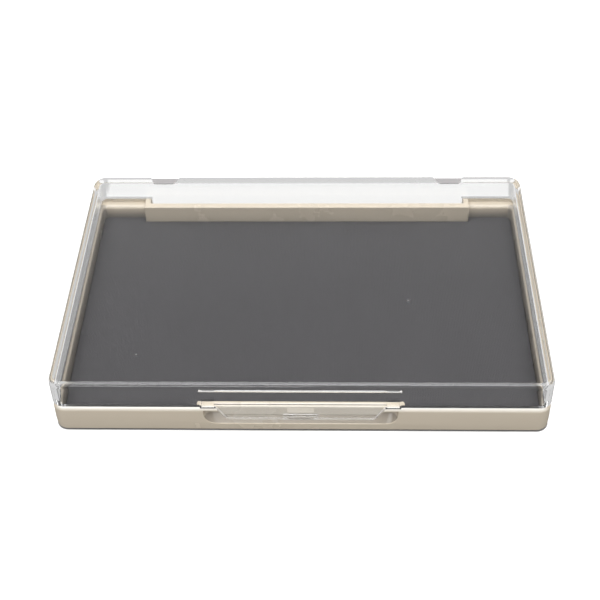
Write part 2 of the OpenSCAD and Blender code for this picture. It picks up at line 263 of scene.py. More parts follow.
class InkPadStage(bpy.types.PropertyGroup):
    """Camera, lamps and floor."""

    lens: bpy.props.FloatProperty(
        name="Lens", description="Focal length on a 36 mm wide frame", default=72.08, subtype="NONE")
    place: bpy.props.FloatVectorProperty(
        name="Camera", description="Place of the camera",
        default=(0.00935, -0.25888, 0.25225), size=3, subtype="TRANSLATION", unit="LENGTH")
    dip: bpy.props.FloatProperty(
        name="Dip", description="How far the camera looks down",
        default=math.radians(43.471), subtype="ANGLE")
    heading: bpy.props.FloatProperty(
        name="Heading", description="How far the camera turns to the left",
        default=math.radians(2.325), subtype="ANGLE")
    roll: bpy.props.FloatProperty(
        name="Roll", description="Roll of the camera about its view",
        default=math.radians(-1.511), subtype="ANGLE")
    top_power: bpy.props.FloatProperty(
        name="Top lamp", description="Power of the lamp above", default=16.0, unit="POWER")
    front_power: bpy.props.FloatProperty(
        name="Front lamp", description="Power of the lamp in front", default=1.0, unit="POWER")
    ambient: share("Ambient", "Strength of the surrounding light", 0.75)
    upper: share("Upper", "Strength of what shows through clear edges from above", 0.05)
    sky_low: share("Sky low", "Rise of a view through the lid up to which the sky is white", 0.53)
    sky_high: share("Sky high", "Rise of a view through the lid from which the sky is dark", 0.74)
    gloss: share("Gloss", "Strength of what shows in gloss", 0.12)
    pale: share("Pale floor", "Tone of the floor where it is seen", 0.85)
    floor: share("Floor", "Tone of the floor in the light that it throws back", 0.25)
    dim: share("Dim floor", "Tone of the floor in gloss and through the lid", 0.1)
    glow: share("Floor glow", "White added to the floor where it is seen", 0.1)
    behind: share("Floor behind", "White added to the floor where it shows through the lid", 0.9)
    beside: share("Floor beside", "Share of that white at the sides of the case", 0.55)
    distant: share("Floor far off", "Share of that white away from the case", 0.75)
    floor_half: length("Floor size", "Half the width of the floor", 3000 * MM)
    apron: length("Apron", "Width of the darker floor seen past the ends of the case", 20 * MM)
    near: length("Near floor", "Distance at which the floor starts to turn white", 300 * MM)
    far: length("Far floor", "Distance at which the floor is a white backdrop", 1200 * MM)


# Outlines, and the steps of an arc and of the lid's top edge

ARC_STEPS = 8
TOP_STEPS = 12


def plan(u, v, w):
    """A plan outline, raised along Z."""
    return Vector((u, v, w))


def front_view(u, v, w):
    """A front view, drawn out along Y."""
    return Vector((u, w, v))


def side_view(u, v, w):
    """A side view of Y and Z, drawn out along X."""
    return Vector((w, u, v))


def arc(centre, radius, start, end, steps=ARC_STEPS):
    """Points on an arc between two angles in degrees."""
    angles = [math.radians(start + (end - start) * i / steps) for i in range(steps + 1)]
    return [(centre[0] + radius * math.cos(a), centre[1] + radius * math.sin(a)) for a in angles]


def round_corner(before, corner, after, radius):
    """The points that round one corner of an outline."""
    point = Vector(corner)
    back = (Vector(before) - point).normalized()
    on = (Vector(after) - point).normalized()
    half = back.angle(on) / 2
    middle = point + (back + on).normalized() * (radius / math.sin(half))
    first = point + back * (radius / math.tan(half)) - middle
    last = point + on * (radius / math.tan(half)) - middle
    turn = math.atan2(first.cross(last), first.dot(last))
    turns = [Matrix.Rotation(turn * i / ARC_STEPS, 2) for i in range(ARC_STEPS + 1)]
    return [tuple(middle + spin @ first) for spin in turns]


def outline(corners):
    """A closed outline from corners given as x, y and radius."""
    points = []
    for i, (x, y, radius) in enumerate(corners):
        before = corners[i - 1][:2]
        after = corners[(i + 1) % len(corners)][:2]
        points += round_corner(before, (x, y), after, radius) if radius else [(x, y)]
    return points


def rectangle(half_w, y0, y1, radius=0.0):
    """The corners of a rectangle that is centred on X."""
    return [(-half_w, y0, radius), (half_w, y0, radius), (half_w, y1, radius), (-half_w, y1, radius)]


def area_of(points):
    """The area inside a closed outline."""
    pairs = zip(points, points[1:] + points[:1])
    return abs(sum(a[0] * b[1] - b[0] * a[1] for a, b in pairs)) / 2


# Solids

def new_object(name, bm):
    """Turn a bmesh into an object in the scene."""
    bmesh.ops.recalc_face_normals(bm, faces=bm.faces)
    mesh = bpy.data.meshes.new(name)
    bm.to_mesh(mesh)
    bm.free()
    piece = bpy.data.objects.new(name, mesh)
    bpy.context.scene.collection.objects.link(piece)
    return piece


def loft(name, place, rings):
    """A closed solid through rings, each given as its height and its outline."""
    bm = bmesh.new()
    loops = [[bm.verts.new(place(u, v, w)) for u, v in points] for w, points in rings]
    bm.faces.new(loops[0])
    bm.faces.new(loops[-1])
    for first, last in zip(loops, loops[1:]):
        for i in range(len(first)):
            bm.faces.new((first[i - 1], first[i], last[i], last[i - 1]))
    return new_object(name, bm)


def prism(name, place, w0, w1, points):
    """A closed solid that draws an outline out from w0 to w1."""
    return loft(name, place, [(w0, points), (w1, points)])


def rod(name, x0, x1, radius, steps=48):
    """A round rod along the hinge axis."""
    circle = arc((HINGE.y, HINGE.z), radius, 0, 360, steps)[:-1]
    return prism(name, side_view, x0, x1, circle)


def settle(piece):
    """Replace a piece's mesh by what its modifiers make of it."""
    graph = bpy.context.evaluated_depsgraph_get()
    made = bpy.data.meshes.new_from_object(piece.evaluated_get(graph))
    piece.modifiers.clear()
    old = piece.data
    piece.data = made
    made.name = old.name
    bpy.data.meshes.remove(old)


def combine(piece, tool, operation):
    """Cut a tool out of a piece, or join it on, and delete the tool."""
    change = piece.modifiers.new(operation.lower(), "BOOLEAN")
    change.operation = operation
    change.object = tool
    change.solver = "EXACT"
    settle(piece)
    bpy.data.objects.remove(tool)


def cut(piece, tool):
    """Cut a tool out of a piece."""
    combine(piece, tool, "DIFFERENCE")


def join(piece, tool):
    """Join a tool on to a piece."""
    combine(piece, tool, "UNION")


def soften(piece, radius_at, least_angle=30.0, segments=4):
    """Round the sharp edges of a piece, each by what radius_at gives for its middle and its bend."""
    bm = bmesh.new()
    bm.from_mesh(piece.data)
    bmesh.ops.remove_doubles(bm, verts=bm.verts, dist=MERGE)
    bmesh.ops.dissolve_limit(bm, angle_limit=math.radians(FLAT_BEND), verts=bm.verts, edges=bm.edges)
    weight = bm.edges.layers.float.new("bevel_weight_edge")
    radii = {}
    for edge in bm.edges:
        if len(edge.link_faces) == 2 and edge.calc_face_angle() > math.radians(least_angle):
            middle = (edge.verts[0].co + edge.verts[1].co) / 2
            radii[edge] = radius_at(middle, edge.is_convex)
    widest = max(radii.values())
    for edge, radius in radii.items():
        edge[weight] = radius / widest
    bm.to_mesh(piece.data)
    bm.free()
    bevel = piece.modifiers.new("round_edges", "BEVEL")
    bevel.width = widest
    bevel.segments = segments
    bevel.limit_method = "WEIGHT"
    bevel.use_clamp_overlap = False
    settle(piece)


def shade(piece, sharp=30.0):
    """Smooth shading that keeps flat faces flat."""
    piece.data.polygons.foreach_set("use_smooth", [True] * len(piece.data.polygons))
    piece.data.set_sharp_from_angle(angle=math.radians(sharp))
    normals = piece.modifiers.new("flat_faces", "WEIGHTED_NORMAL")
    normals.keep_sharp = True


def dress(piece, body, node, material):
    """Give a piece its shading, its material and its body, and hide the solid that it stands for."""
    shade(piece)
    piece.data.materials.clear()
    piece.data.materials.append(material)
    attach(piece, body)
    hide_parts(node)


def near(a, b, reach=0.1 * MM):
    """True if two places are about the same."""
    return abs(a - b) < reach


def inset_of(p, case):
    """How far a place lies inside the plan of the case."""
    halves = ((p.x, case.width / 2), (p.y, case.depth / 2))
    past = [max(abs(place) - half + case.corner, 0) for place, half in halves]
    if all(past):
        return case.corner - math.hypot(*past)
    return min(half - abs(place) for place, half in halves)


# Materials

def new_group(name, inputs, outputs):
    """A shader node group with named float inputs and outputs."""
    tree = bpy.data.node_groups.new(name, "ShaderNodeTree")
    for label, value in inputs:
        socket = tree.interface.new_socket(label, in_out="INPUT", socket_type="NodeSocketFloat")
        socket.default_value = value
    for label in outputs:
        tree.interface.new_socket(label, in_out="OUTPUT", socket_type="NodeSocketFloat")
    return tree, tree.nodes.new("NodeGroupInput"), tree.nodes.new("NodeGroupOutput")


def add(tree, kind, links=(), **values):
    """Add a node, set its attributes and link its inputs."""
    made = tree.nodes.new(kind)
    for key, value in values.items():
        setattr(made, key, value)
    for name, source in links:
        if isinstance(source, bpy.types.NodeSocket):
            tree.links.new(source, made.inputs[name])
        else:
            made.inputs[name].default_value = source
    return made


def maths(tree, operation, a, b=0.0, c=0.0):
    """A Math node, and its result."""
    return add(tree, "ShaderNodeMath", [(0, a), (1, b), (2, c)], operation=operation).outputs[0]


def product(tree, first, *others):
    """The product of several values."""
    for other in others:
        first = maths(tree, "MULTIPLY", first, other)
    return first


def ramp(tree, value, low, high, to_low=0.0, to_high=1.0):
    """Map a value from one range to another, smoothly."""
    node = add(tree, "ShaderNodeMapRange", [("Value", value), ("From Min", low), ("From Max", high),
                                            ("To Min", to_low), ("To Max", to_high)])
    node.interpolation_type = "SMOOTHSTEP"
    return node.outputs["Result"]


def blend_colour(tree, factor, a, b):
    """Mix two colours."""
    node = add(tree, "ShaderNodeMix", data_type="RGBA")
    tree.links.new(factor, node.inputs["Factor"])
    for socket, value in ((node.inputs[6], a), (node.inputs[7], b)):
        if isinstance(value, bpy.types.NodeSocket):
            tree.links.new(value, socket)
        else:
            socket.default_value = (*value, 1.0)
    return node.outputs[2]


def place_on(tree):
    """The coordinates of the piece itself."""
    return add(tree, "ShaderNodeTexCoord").outputs["Object"]


def axes_on(tree):
    """The X, Y and Z of the piece itself."""
    split = add(tree, "ShaderNodeSeparateXYZ", [("Vector", place_on(tree))])
    return [split.outputs[axis] for axis in "XYZ"]


def moulding_group():
    """Faint flow tone and fine grain of a moulded surface."""
    tree, inner, outer = new_group("Moulded Surface", [("Flow", 60.0), ("Grain", 2500.0)], ["Tone", "Height"])
    spot = place_on(tree)
    flow = add(tree, "ShaderNodeTexNoise", [("Vector", spot), ("Scale", inner.outputs["Flow"]),
                                            ("Detail", 4.0), ("Roughness", 0.55)])
    grain = add(tree, "ShaderNodeTexNoise", [("Vector", spot), ("Scale", inner.outputs["Grain"]),
                                             ("Detail", 2.0), ("Roughness", 0.5)])
    tree.links.new(ramp(tree, flow.outputs["Fac"], 0.1, 0.9), outer.inputs["Tone"])
    tree.links.new(grain.outputs["Fac"], outer.inputs["Height"])
    return tree


def dust_group():
    """Scattered specks of dust."""
    tree, inner, outer = new_group("Dust", [("Scale", 300.0), ("Amount", 0.05), ("Size", 0.2)], ["Mask"])
    cells = add(tree, "ShaderNodeTexVoronoi", [("Vector", place_on(tree)), ("Scale", inner.outputs["Scale"])])
    split = add(tree, "ShaderNodeSeparateColor", [("Color", cells.outputs["Color"])])
    chosen = maths(tree, "LESS_THAN", split.outputs["Red"], inner.outputs["Amount"])
    size = product(tree, split.outputs["Green"], inner.outputs["Size"])
    round_speck = maths(tree, "LESS_THAN", cells.outputs["Distance"], size)
    tree.links.new(product(tree, chosen, round_speck), outer.inputs["Mask"])
    return tree


def weave_group():
    """Plain weave of a fine cloth: crossed threads that pass over and under."""
    tree, inner, outer = new_group("Weave", [("Spacing", 0.45 * MM)], ["Height", "Tone"])
    turn = maths(tree, "DIVIDE", math.pi, inner.outputs["Spacing"])
    waves = [maths(tree, "SINE", product(tree, value, turn)) for value in axes_on(tree)[:2]]
    tree.links.new(maths(tree, "ABSOLUTE", product(tree, *waves)), outer.inputs["Height"])
    cloud = add(tree, "ShaderNodeTexNoise", [("Vector", place_on(tree)), ("Scale", 45.0), ("Detail", 5.0)])
    tree.links.new(ramp(tree, cloud.outputs["Fac"], 0.3, 0.75), outer.inputs["Tone"])
    return tree


def new_material(name):
    """A material, its tree and its Principled shader."""
    material = bpy.data.materials.new(name)
    material.use_nodes = True
    return material, material.node_tree, material.node_tree.nodes["Principled BSDF"]


def use_group(tree, maker, name, **values):
    """Place a shared group, which is made once, in a material with its own values."""
    node = add(tree, "ShaderNodeGroup", node_tree=bpy.data.node_groups.get(name) or maker())
    for key, value in values.items():
        node.inputs[key].default_value = value
    return node


def bump(tree, shader, height, depth):
    """Drive a shader's normal by a height."""
    node = add(tree, "ShaderNodeBump", [("Height", height), ("Distance", depth), ("Strength", 1.0)])
    tree.links.new(node.outputs["Normal"], shader.inputs["Normal"])


def ink_stain_and_shade(tree, tone):
    """Ink staining and painted shade that fade up the inner walls from the pad, strongest at the sides and in
    the pockets.
    """
    x, y, z = axes_on(tree)
    side = maths(tree, "ABSOLUTE", x)
    short, tall = CLOTH_HIGH.z + STAIN_SHADE_RISE, CLOTH_HIGH.z + STAIN_SHADE_CLIMB * STAIN_SHADE_RISE
    rise = ramp(tree, side, CLOTH_HIGH.x - OVER, CLOTH_HIGH.x, short, tall)
    low = ramp(tree, z, CLOTH_HIGH.z, rise, 1.0, 0.0)
    beside = ramp(tree, side, PIN_HIGH.x - OVER, PIN_HIGH.x + OVER, STAIN_SHADE_BETWEEN, 1.0)
    within = maths(tree, "LESS_THAN", side, CLOTH_HIGH.x + OVER)
    between = maths(tree, "COMPARE", y, 0.0, CLOTH_HIGH.y + OVER)
    patchy = ramp(tree, tone, 0.0, 1.0, STAIN_SHADE_PATCH * STAIN_SHADE_DEPTH, STAIN_SHADE_DEPTH)
    return product(tree, low, beside, within, between, patchy)


def shade_in_recess(tree, props):
    """Painted shade on the floor of the finger recess, from just behind its lip to its back."""
    x, y, z = axes_on(tree)
    lip, back = TRAY_LOW.y + props.taper, TRAY_LOW.y + props.recess_depth
    across = maths(tree, "COMPARE", x, 0.0, props.recess_width / 2)
    deep = ramp(tree, y, lip - STEP, lip + STEP)
    before = maths(tree, "LESS_THAN", y, back + STEP)
    above = ramp(tree, z, props.recess_lip - LAP, props.recess_lip)
    below = ramp(tree, z, props.recess_floor - STEP, props.recess_floor + LAP, 1.0, 0.0)
    return product(tree, across, deep, before, above, below)


def rim_highlight(tree, props):
    """A painted highlight: a pale line along the front of the rim, standing for the light that the lid's wall
    guides down to it.
    """
    _, y, z = axes_on(tree)
    high = ramp(tree, z, props.rim - props.rim_round, props.rim)
    front = ramp(tree, y, TRAY_LOW.y + props.rim_wall / 2, TRAY_LOW.y + props.rim_wall, 1.0, 0.0)
    return product(tree, high, front)


def tab_glare(tree, props):
    """Painted glare: the wall behind the tab, above the recess floor, painted paler for the tab's own glare.
    """
    x, y, z = axes_on(tree)
    back = TRAY_LOW.y + props.recess_depth
    end = props.recess_width / 2 - props.glare_end
    side = maths(tree, "ABSOLUTE", x)
    across = ramp(tree, side, end, end + props.glare_end / 2, 1.0, 0.0)
    wall = maths(tree, "COMPARE", y, back, props.back_round)
    above = ramp(tree, z, props.recess_floor, props.recess_floor + LAP)
    return product(tree, across, wall, above, props.haze)


def tray_plastic(props):
    """Warm beige moulded plastic with a satin gloss, with ink staining and painted shade up the inner walls,
    painted shade in the recess, and painted highlights on the rim and behind the tab.
    """
    material, tree, shader = new_material("tray_plastic")
    skin = use_group(tree, moulding_group, "Moulded Surface", Flow=55.0, Grain=3000.0)
    dust = use_group(tree, dust_group, "Dust", Scale=260.0, Amount=0.03, Size=0.12)
    tone = blend_colour(tree, skin.outputs["Tone"], props.shade, props.tint)
    # Ink staining, partly painted shade, fading up the inner walls from the pad
    stained_and_shaded = blend_colour(tree, ink_stain_and_shade(tree, skin.outputs["Tone"]), tone, props.stain_and_shade)
    # Painted shade on the floor of the finger recess
    darkened = blend_colour(tree, shade_in_recess(tree, props), stained_and_shaded, props.recess_shade)
    # Painted highlight along the rim's front, and painted glare that pales the wall behind the tab
    pale = maths(tree, "MAXIMUM", rim_highlight(tree, props), tab_glare(tree, props))
    lit = blend_colour(tree, pale, darkened, props.painted_highlight)
    dusty = product(tree, dust.outputs["Mask"], TRAY_DUST)
    tree.links.new(blend_colour(tree, dusty, lit, props.dust), shader.inputs["Base Color"])
    rougher, smoother = (1 + VARY) * props.rough, (1 - VARY) * props.rough
    rough = ramp(tree, skin.outputs["Tone"], 0.0, 1.0, rougher, smoother)
    tree.links.new(rough, shader.inputs["Roughness"])
    shader.inputs["Specular IOR Level"].default_value = props.gloss
    bump(tree, shader, skin.outputs["Height"], 0.004 * MM)
    return material


def notch_frost(tree, props):
    """The floor and the front of the notches above the lugs."""
    x, y, z = axes_on(tree)
    side = maths(tree, "ABSOLUTE", x)
    across = maths(tree, "COMPARE", side, PIN_LOW.x + props.lug / 2, props.lug / 2)
    rear = maths(tree, "GREATER_THAN", y, CAD_HIGH.y - props.notch_depth - STEP)
    low, high = CAD_HIGH.z - props.notch_drop - STEP, CAD_HIGH.z - 2 * STEP
    sunk = maths(tree, "COMPARE", z, (low + high) / 2, (high - low) / 2)
    return product(tree, across, rear, sunk)


def clear_plastic(props):
    """Clear polished plastic that lets lamps through."""
    material, tree, shader = new_material("clear_plastic")
    frost = notch_frost(tree, props)
    tree.links.new(blend_colour(tree, frost, props.tint, props.frost), shader.inputs["Base Color"])
    shader.inputs["Transmission Weight"].default_value = 1.0
    shader.inputs["IOR"].default_value = LID_INDEX
    skin = use_group(tree, moulding_group, "Moulded Surface", Flow=80.0, Grain=900.0)
    dust = use_group(tree, dust_group, "Dust", Scale=200.0, Amount=0.03, Size=0.1)
    smoother, rougher = (1 - VARY) * props.haze, (1 + VARY) * props.haze
    haze = ramp(tree, skin.outputs["Tone"], 0.0, 1.0, smoother, rougher)
    speck = maths(tree, "MULTIPLY_ADD", dust.outputs["Mask"], LID_DUST, haze)
    tree.links.new(maths(tree, "MULTIPLY_ADD", frost, props.frost_rough, speck), shader.inputs["Roughness"])
    path = add(tree, "ShaderNodeLightPath")
    # Lamp light goes straight through, less what each face above the rim turns back at the outer angle
    lamps = maths(tree, "MAXIMUM", path.outputs["Is Shadow Ray"], path.outputs["Is Diffuse Ray"])
    above_rim = maths(tree, "GREATER_THAN", axes_on(tree)[2], TRAY_HIGH.z)
    inside = add(tree, "ShaderNodeNewGeometry").outputs["Backfacing"]
    index = add(tree, "ShaderNodeMix", [("Factor", inside), ("A", LID_INDEX), ("B", 1 / LID_INDEX)])
    turned_back = add(tree, "ShaderNodeFresnel", [("IOR", index.outputs["Result"])]).outputs["Fac"]
    lost = product(tree, turned_back, above_rim)
    passing = add(tree, "ShaderNodeBsdfTransparent", [("Color", maths(tree, "SUBTRACT", 1.0, lost))])
    # Light that is caught between the faces leaves at the edges as a glow
    trapped = maths(tree, "GREATER_THAN", path.outputs["Glossy Depth"], CAUGHT)
    gathered = add(tree, "ShaderNodeEmission", [("Color", WHITE), ("Strength", props.edge_glow)])
    seen = add(tree, "ShaderNodeMixShader", [("Fac", trapped), (1, shader.outputs["BSDF"]),
                                             (2, gathered.outputs["Emission"])])
    both = add(tree, "ShaderNodeMixShader", [("Fac", lamps), (1, seen.outputs["Shader"]),
                                             (2, passing.outputs["BSDF"])])
    tree.links.new(both.outputs["Shader"], tree.nodes["Material Output"].inputs["Surface"])
    return material


def ink_cloth(props):
    """Fine woven cloth, soaked with dark ink."""
    material, tree, shader = new_material("ink_cloth")
    weave = use_group(tree, weave_group, "Weave", Spacing=props.thread)
    dust = use_group(tree, dust_group, "Dust", Scale=330.0, Amount=0.05, Size=0.14)
    crest = product(tree, weave.outputs["Height"], ramp(tree, weave.outputs["Tone"], 0.0, 1.0, 0.3, 1.0))
    inked = blend_colour(tree, crest, props.ink, props.dry)
    dusty = product(tree, dust.outputs["Mask"], CLOTH_DUST)
    tree.links.new(blend_colour(tree, dusty, inked, props.dust), shader.inputs["Base Color"])
    tree.links.new(ramp(tree, weave.outputs["Tone"], 0.0, 1.0, 0.55, 0.75), shader.inputs["Roughness"])
    shader.inputs["Specular IOR Level"].default_value = 0.2
    bump(tree, shader, weave.outputs["Height"], 0.06 * MM)
    return material


def soaked_felt(props):
    """Matted felt, soaked with dark ink."""
    material, tree, shader = new_material("soaked_felt")
    skin = use_group(tree, moulding_group, "Moulded Surface", Flow=400.0, Grain=4000.0)
    inked = blend_colour(tree, skin.outputs["Tone"], props.ink, props.dry)
    tree.links.new(inked, shader.inputs["Base Color"])
    shader.inputs["Roughness"].default_value = 0.85
    bump(tree, shader, skin.outputs["Height"], 0.05 * MM)
    return material


def fibre_sheet(name, light, dark, rough):
    """A paper or board with fine fibres."""
    material, tree, shader = new_material(name)
    skin = use_group(tree, moulding_group, "Moulded Surface", Flow=900.0, Grain=5000.0)
    tree.links.new(blend_colour(tree, skin.outputs["Tone"], dark, light), shader.inputs["Base Color"])
    shader.inputs["Roughness"].default_value = rough
    bump(tree, shader, skin.outputs["Height"], 0.02 * MM)
    return material


def drawn_steel(props):
    """Drawn steel wire with fine lines round it."""
    material, tree, shader = new_material("drawn_steel")
    skin = use_group(tree, moulding_group, "Moulded Surface", Flow=500.0, Grain=3500.0)
    darkened = [c * 0.8 for c in props.steel]
    tree.links.new(blend_colour(tree, skin.outputs["Tone"], darkened, props.steel), shader.inputs["Base Color"])
    shader.inputs["Metallic"].default_value = 1.0
    tree.links.new(ramp(tree, skin.outputs["Tone"], 0.0, 1.0, 0.22, 0.38), shader.inputs["Roughness"])
    bump(tree, shader, skin.outputs["Height"], 0.005 * MM)
    return material


# Shared places, worked out from the properties

def tray_plan(case, tray, gap, side, rear):
    """The plan of the space inside the rim, less a ledge at the side and the rear, and less gap all round."""
    half = case.width / 2 - tray.rim_wall - side - gap
    y0 = -case.depth / 2 + tray.rim_wall + side + gap
    y1 = case.depth / 2 - tray.rim_wall - rear - gap
    bump_half = tray.recess_width / 2 + tray.recess_back + gap
    bump_y = -case.depth / 2 + tray.recess_depth + tray.recess_back + gap
    well_half = PIN_HIGH.x + gap
    bar_y = case.depth / 2 - tray.well_depth - tray.bar - gap
    r, inset, edge = tray.inner_corner, tray.recess_back / 2, tray.edge_round
    return outline([
        (-half, y0, r), (-bump_half, y0, 0), (-bump_half, bump_y, inset),
        (bump_half, bump_y, inset), (bump_half, y0, 0), (half, y0, r),
        (half, y1, r), (well_half, y1, 0), (well_half, bar_y, edge),
        (-well_half, bar_y, edge), (-well_half, y1, 0), (-half, y1, r)])


def pad_plan(case, tray, gap):
    """The plan of the space for the pad, less gap all round."""
    return tray_plan(case, tray, gap, tray.ledge_side, tray.ledge_rear)


def rim_plan(case, tray, more):
    """The plan of the space inside the rim, above the ledge, with more cut away all round."""
    return tray_plan(case, tray, -more, 0, 0)


def tab_half(case, tray, z):
    """Half the width of the tab at a height."""
    rise = (z - case.tab_height) / (tray.rim + case.parting - case.tab_height)
    return (case.tab_low + (case.tab_top - case.tab_low) * rise) / 2


def case_outline(case, inset):
    """The plan of the case, drawn in by inset."""
    y = case.depth / 2 - inset
    return outline(rectangle(case.width / 2 - inset, -y, y, case.corner - inset))


def edge_inset(drop, radius):
    """How far a round edge stands in, at a drop below the face that it rounds off."""
    return radius - math.sqrt(max(radius ** 2 - max(radius - drop, 0) ** 2, 0))


# Pieces

class INKPAD_OT_tray(bpy.types.Operator):
    """Model the moulded tray with its rim, ledge, hinge well and finger recess"""

    bl_idname = "inkpad.tray"
    bl_label = "Tray"

    def execute(self, context):
        case, tray = context.scene.inkpad_case, context.scene.inkpad_tray
        front, rear = -case.depth / 2, case.depth / 2
        ledge = tray.rim - tray.ledge_drop
        above = tray.rim + OVER
        piece = loft("tray_shell", plan, self.wall_rings(case, tray))
        flare = arc((tray.edge_round, tray.rim - tray.edge_round), tray.edge_round, 180, 90)
        flare = [(0, ledge), *flare, (tray.edge_round, above)]
        cut(piece, loft("rim_space", plan, [(z, rim_plan(case, tray, more)) for more, z in flare]))
        cut(piece, prism("pad_space", plan, tray.floor, above, pad_plan(case, tray, 0)))
        well_half = PIN_HIGH.x - tray.well_end
        well = outline(rectangle(well_half, rear - tray.well_depth, rear + OVER))
        cut(piece, prism("well", plan, -OVER, above, well))
        self.cut_recess(piece, case, tray, front, ledge, above)
        soften(piece, lambda p, convex: self.edge_radius(p, case, tray, ledge) if convex else 0.0)
        for side in (-1, 1):
            ends = sorted((side * (well_half - LAP), side * (PIN_HIGH.x + LAP)))
            cut(piece, rod("pin_bore", *ends, (PIN_HIGH.z - PIN_LOW.z) / 2 + STEP / 5))
        self.add_nub(piece, case, tray, front)
        dress(piece, "tray", "base_tray", tray_plastic(tray))
        return {"FINISHED"}

    def wall_rings(self, case, tray):
        """The outer wall from the foot, up a slightly swollen wall, to the round rim."""
        r, foot = tray.low_round, tray.foot_height
        edge = arc((tray.taper + r, foot + r), r, 270, 180)
        rim = arc((tray.rim_round, tray.rim - tray.rim_round), tray.rim_round, 180, 90)
        middle = (tray.taper / 2 - tray.belly, tray.rim / 3)
        rings = [(tray.foot_in, 0), (tray.foot_in, foot), *edge, middle, *rim]
        return [(z, case_outline(case, inset)) for inset, z in rings]

    def cut_recess(self, piece, case, tray, front, ledge, above):
        """Cut the finger recess and the slot for the tab above it, flared to round their front edges."""
        face, r = front + tray.taper / 4, tray.lip_round
        back, rings = front + tray.recess_depth, []
        for more, y in [(0, back), *arc((r, face + r), r, 180, 270), (r, front - OVER)]:
            floor = tray.recess_floor if y == back else tray.recess_lip
            rings.append((y, self.recess_outline(case, tray, floor - more, ledge, above, more)))
        cut(piece, loft("recess", front_view, rings))

    def recess_outline(self, case, tray, floor, ledge, above, more):
        """The front view of the recess and the slot, with more cut away all round."""
        half, roof, lip = tray.recess_width / 2 + more, ledge + more, tray.lip_round
        r = min(tray.recess_corner + more, roof - floor - STEP)
        low, high = (tab_half(case, tray, z) + case.tab_gap + more for z in (ledge, above))
        return outline([(-half, roof, 0), (-half, floor, r), (half, floor, r), (half, roof, 0),
                        (low, roof, lip), (high, above, 0), (-high, above, 0), (-low, roof, lip)])

    def add_nub(self, piece, case, tray, front):
        """Add the catch nub, with a slope above its edge that leads the bead over it."""
        back = front + tray.recess_depth
        face, r = back - tray.nub_out, tray.edge_round
        low, high = case.nub_height, case.nub_height + tray.nub_tall
        nub = outline([(face, low, r), (back + LAP, low, 0), (back + LAP, high, 0),
                       (back - STEP, high, 0), (face, high - tray.nub_lead, r)])
        join(piece, prism("nub", side_view, -tray.nub_width / 2, tray.nub_width / 2, nub))

    def edge_radius(self, p, case, tray, ledge):
        """The radius of the edge whose middle is p."""
        if near(p.y, tray.recess_depth - case.depth / 2) and near(p.z, tray.rim):
            return tray.back_round
        if inset_of(p, case) > tray.rim_wall and near(p.z, ledge):
            pocket = case.depth / 2 - tray.rim_wall - tray.ledge_rear
            turn = min(max(1 - (pocket - p.y) / tray.inner_corner, 0), 1)
            return tray.ledge_round + (tray.pocket_round - tray.ledge_round) * turn
        in_well = p.y > case.depth / 2 - tray.well_depth - STEP and abs(p.x) < PIN_HIGH.x - tray.edge_round
        return tray.edge_round if in_well and p.z > tray.foot_height + LAP else 0.0


